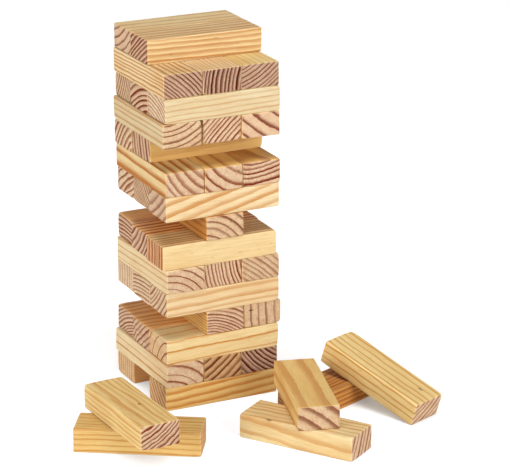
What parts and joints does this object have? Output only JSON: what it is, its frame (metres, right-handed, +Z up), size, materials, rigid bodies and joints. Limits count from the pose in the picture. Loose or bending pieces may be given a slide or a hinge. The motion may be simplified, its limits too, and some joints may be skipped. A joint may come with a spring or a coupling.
{
  "type": "giant tumbling tower",
  "caption": "Lawn stacking game: a tall tower of crossed layers of wooden blocks, some drawn out, with fallen blocks heaped in front of it.",
  "frame": {"origin": "on the ground, at the centre of the outline of the tower and its fallen blocks together; the tower's own axis is 4 mm right of it and 145 mm behind it", "axes": "+X right along the tower's front, +Y to the back, +Z up"},
  "size_m": [0.5563, 0.4836, 0.5707],
  "materials": {
    "pine": "planed and sanded softwood, unvarnished"
  },
  "bodies": {
    "layer_01_front_block": {"layer_01_front_block": "pine"},
    "layer_01_back_block": {"layer_01_back_block": "pine"},
    "layer_02_left_block": {"layer_02_left_block": "pine"},
    "layer_02_middle_block": {"layer_02_middle_block": "pine"},
    "layer_02_right_block": {"layer_02_right_block": "pine"},
    "layer_03_front_block": {"layer_03_front_block": "pine"},
    "layer_03_middle_block": {"layer_03_middle_block": "pine"},
    "layer_03_back_block": {"layer_03_back_block": "pine"},
    "layer_04_middle_block": {"layer_04_middle_block": "pine"},
    "layer_04_right_block": {"layer_04_right_block": "pine"},
    "layer_05_front_block": {"layer_05_front_block": "pine"},
    "layer_05_middle_block": {"layer_05_middle_block": "pine"},
    "layer_05_back_block": {"layer_05_back_block": "pine"},
    "layer_06_left_block": {"layer_06_left_block": "pine"},
    "layer_06_middle_block": {"layer_06_middle_block": "pine"},
    "layer_06_right_block": {"layer_06_right_block": "pine"},
    "layer_07_front_block": {"layer_07_front_block": "pine"},
    "layer_07_middle_block": {"layer_07_middle_block": "pine"},
    "layer_07_back_block": {"layer_07_back_block": "pine"},
    "layer_08_middle_block": {"layer_08_middle_block": "pine"},
    "layer_09_front_block": {"layer_09_front_block": "pine"},
    "layer_09_middle_block": {"layer_09_middle_block": "pine"},
    "layer_09_back_block": {"layer_09_back_block": "pine"},
    "layer_10_left_block": {"layer_10_left_block": "pine"},
    "layer_10_middle_block": {"layer_10_middle_block": "pine"},
    "layer_10_right_block": {"layer_10_right_block": "pine"},
    "layer_11_middle_block": {"layer_11_middle_block": "pine"},
    "layer_11_back_block": {"layer_11_back_block": "pine"},
    "layer_12_left_block": {"layer_12_left_block": "pine"},
    "layer_12_middle_block": {"layer_12_middle_block": "pine"},
    "layer_12_right_block": {"layer_12_right_block": "pine"},
    "layer_13_front_block": {"layer_13_front_block": "pine"},
    "layer_13_middle_block": {"layer_13_middle_block": "pine"},
    "layer_13_back_block": {"layer_13_back_block": "pine"},
    "layer_14_left_block": {"layer_14_left_block": "pine"},
    "layer_14_middle_block": {"layer_14_middle_block": "pine"},
    "layer_14_right_block": {"layer_14_right_block": "pine"},
    "layer_15_middle_block": {"layer_15_middle_block": "pine"},
    "layer_15_back_block": {"layer_15_back_block": "pine"},
    "loose_left_lower_block": {"loose_left_lower_block": "pine"},
    "loose_left_upper_block": {"loose_left_upper_block": "pine"},
    "loose_front_block": {"loose_front_block": "pine"},
    "loose_back_block": {"loose_back_block": "pine"},
    "loose_bridge_block": {"loose_bridge_block": "pine"},
    "loose_leaning_block": {"loose_leaning_block": "pine"}
  },
  "joints": [
    {"name": "layer_01_back_slide", "type": "slide", "parent": "layer_01_front_block", "child": "layer_01_back_block", "axis": [1, 0, 0], "range_m": [-0.2, 0.2]},
    {"name": "layer_02_left_slide", "type": "slide", "parent": "layer_01_front_block", "child": "layer_02_left_block", "axis": [0, 1, 0], "range_m": [-0.2, 0.2]},
    {"name": "layer_02_middle_slide", "type": "slide", "parent": "layer_01_front_block", "child": "layer_02_middle_block", "axis": [0, 1, 0], "range_m": [-0.13, 0.2]},
    {"name": "layer_02_right_slide", "type": "slide", "parent": "layer_01_front_block", "child": "layer_02_right_block", "axis": [0, 1, 0], "range_m": [-0.045, 0.2]},
    {"name": "layer_03_front_slide", "type": "slide", "parent": "layer_01_front_block", "child": "layer_03_front_block", "axis": [1, 0.0035, 0], "range_m": [-0.2, 0.2]},
    {"name": "layer_03_middle_slide", "type": "slide", "parent": "layer_01_front_block", "child": "layer_03_middle_block", "axis": [1, 0.0035, 0], "range_m": [-0.2, 0.2]},
    {"name": "layer_03_back_slide", "type": "slide", "parent": "layer_01_front_block", "child": "layer_03_back_block", "axis": [1, 0.0035, 0], "range_m": [-0.2, 0.2]},
    {"name": "layer_04_middle_slide", "type": "slide", "parent": "layer_01_front_block", "child": "layer_04_middle_block", "axis": [-0.007, 1, 0], "range_m": [-0.2, 0.2]},
    {"name": "layer_04_right_slide", "type": "slide", "parent": "layer_01_front_block", "child": "layer_04_right_block", "axis": [-0.007, 1, 0], "range_m": [-0.2, 0.2]},
    {"name": "layer_05_front_slide", "type": "slide", "parent": "layer_01_front_block", "child": "layer_05_front_block", "axis": [1, -0.0052, 0], "range_m": [-0.2, 0.2]},
    {"name": "layer_05_middle_slide", "type": "slide", "parent": "layer_01_front_block", "child": "layer_05_middle_block", "axis": [1, -0.0052, 0], "range_m": [-0.2, 0.2]},
    {"name": "layer_05_back_slide", "type": "slide", "parent": "layer_01_front_block", "child": "layer_05_back_block", "axis": [1, -0.0052, 0], "range_m": [-0.2, 0.2]},
    {"name": "layer_06_left_slide", "type": "slide", "parent": "layer_01_front_block", "child": "layer_06_left_block", "axis": [-0.0035, 1, 0], "range_m": [-0.2, 0.2]},
    {"name": "layer_06_middle_slide", "type": "slide", "parent": "layer_01_front_block", "child": "layer_06_middle_block", "axis": [-0.0035, 1, 0], "range_m": [-0.2, 0.2]},
    {"name": "layer_06_right_slide", "type": "slide", "parent": "layer_01_front_block", "child": "layer_06_right_block", "axis": [-0.0035, 1, 0], "range_m": [-0.2, 0.2]},
    {"name": "layer_07_front_slide", "type": "slide", "parent": "layer_01_front_block", "child": "layer_07_front_block", "axis": [1, -0.007, 0], "range_m": [-0.2, 0.2]},
    {"name": "layer_07_middle_slide", "type": "slide", "parent": "layer_01_front_block", "child": "layer_07_middle_block", "axis": [1, -0.007, 0], "range_m": [-0.2, 0.2]},
    {"name": "layer_07_back_slide", "type": "slide", "parent": "layer_01_front_block", "child": "layer_07_back_block", "axis": [1, -0.007, 0], "range_m": [-0.2, 0.2]},
    {"name": "layer_08_middle_slide", "type": "slide", "parent": "layer_01_front_block", "child": "layer_08_middle_block", "axis": [0, 1, 0], "range_m": [-0.2, 0.2]},
    {"name": "layer_09_front_slide", "type": "slide", "parent": "layer_01_front_block", "child": "layer_09_front_block", "axis": [1, 0.0035, 0], "range_m": [-0.2, 0.2]},
    {"name": "layer_09_middle_slide", "type": "slide", "parent": "layer_01_front_block", "child": "layer_09_middle_block", "axis": [1, 0.0035, 0], "range_m": [-0.2, 0.2]},
    {"name": "layer_09_back_slide", "type": "slide", "parent": "layer_01_front_block", "child": "layer_09_back_block", "axis": [1, 0.0035, 0], "range_m": [-0.2, 0.2]},
    {"name": "layer_10_left_slide", "type": "slide", "parent": "layer_01_front_block", "child": "layer_10_left_block", "axis": [0.0035, 1, 0], "range_m": [-0.2, 0.2]},
    {"name": "layer_10_middle_slide", "type": "slide", "parent": "layer_01_front_block", "child": "layer_10_middle_block", "axis": [0.0035, 1, 0], "range_m": [-0.2, 0.2]},
    {"name": "layer_10_right_slide", "type": "slide", "parent": "layer_01_front_block", "child": "layer_10_right_block", "axis": [0.0035, 1, 0], "range_m": [-0.2, 0.2]},
    {"name": "layer_11_middle_slide", "type": "slide", "parent": "layer_01_front_block", "child": "layer_11_middle_block", "axis": [1, 0.007, 0], "range_m": [-0.2, 0.2]},
    {"name": "layer_11_back_slide", "type": "slide", "parent": "layer_01_front_block", "child": "layer_11_back_block", "axis": [1, 0.007, 0], "range_m": [-0.2, 0.2]},
    {"name": "layer_12_left_slide", "type": "slide", "parent": "layer_01_front_block", "child": "layer_12_left_block", "axis": [0, 1, 0], "range_m": [-0.2, 0.2]},
    {"name": "layer_12_middle_slide", "type": "slide", "parent": "layer_01_front_block", "child": "layer_12_middle_block", "axis": [0, 1, 0], "range_m": [-0.2, 0.2]},
    {"name": "layer_12_right_slide", "type": "slide", "parent": "layer_01_front_block", "child": "layer_12_right_block", "axis": [0, 1, 0], "range_m": [-0.2, 0.2]},
    {"name": "layer_13_front_slide", "type": "slide", "parent": "layer_01_front_block", "child": "layer_13_front_block", "axis": [1, 0.0017, 0], "range_m": [-0.2, 0.2]},
    {"name": "layer_13_middle_slide", "type": "slide", "parent": "layer_01_front_block", "child": "layer_13_middle_block", "axis": [1, 0.0017, 0], "range_m": [-0.2, 0.2]},
    {"name": "layer_13_back_slide", "type": "slide", "parent": "layer_01_front_block", "child": "layer_13_back_block", "axis": [1, 0.0017, 0], "range_m": [-0.2, 0.2]},
    {"name": "layer_14_left_slide", "type": "slide", "parent": "layer_01_front_block", "child": "layer_14_left_block", "axis": [0.0052, 1, 0], "range_m": [-0.2, 0.2]},
    {"name": "layer_14_middle_slide", "type": "slide", "parent": "layer_01_front_block", "child": "layer_14_middle_block", "axis": [0.0052, 1, 0], "range_m": [-0.2, 0.2]},
    {"name": "layer_14_right_slide", "type": "slide", "parent": "layer_01_front_block", "child": "layer_14_right_block", "axis": [0.0052, 1, 0], "range_m": [-0.2, 0.2]},
    {"name": "layer_15_middle_slide", "type": "slide", "parent": "layer_01_front_block", "child": "layer_15_middle_block", "axis": [1, 0.0052, 0], "range_m": [-0.2, 0.2]},
    {"name": "layer_15_back_slide", "type": "slide", "parent": "layer_01_front_block", "child": "layer_15_back_block", "axis": [1, 0.0052, 0], "range_m": [-0.2, 0.2]},
    {"name": "loose_left_lower_lift", "type": "slide", "parent": "layer_01_front_block", "child": "loose_left_lower_block", "axis": [0, 0, 1], "range_m": [0, 0.15]},
    {"name": "loose_left_upper_lift", "type": "slide", "parent": "loose_left_lower_block", "child": "loose_left_upper_block", "axis": [0, 0, 1], "range_m": [0, 0.15]},
    {"name": "loose_front_slide", "type": "slide", "parent": "layer_01_front_block", "child": "loose_front_block", "axis": [0.5592, -0.829, 0], "range_m": [-0.1, 0.2]},
    {"name": "loose_back_lift", "type": "slide", "parent": "layer_01_front_block", "child": "loose_back_block", "axis": [0, 0, 1], "range_m": [0, 0.15]},
    {"name": "loose_bridge_lift", "type": "slide", "parent": "loose_back_block", "child": "loose_bridge_block", "axis": [0, 0, 1], "range_m": [0, 0.15]},
    {"name": "loose_leaning_lift", "type": "slide", "parent": "loose_back_block", "child": "loose_leaning_block", "axis": [0, 0, 1], "range_m": [0, 0.15]}
  ]
}
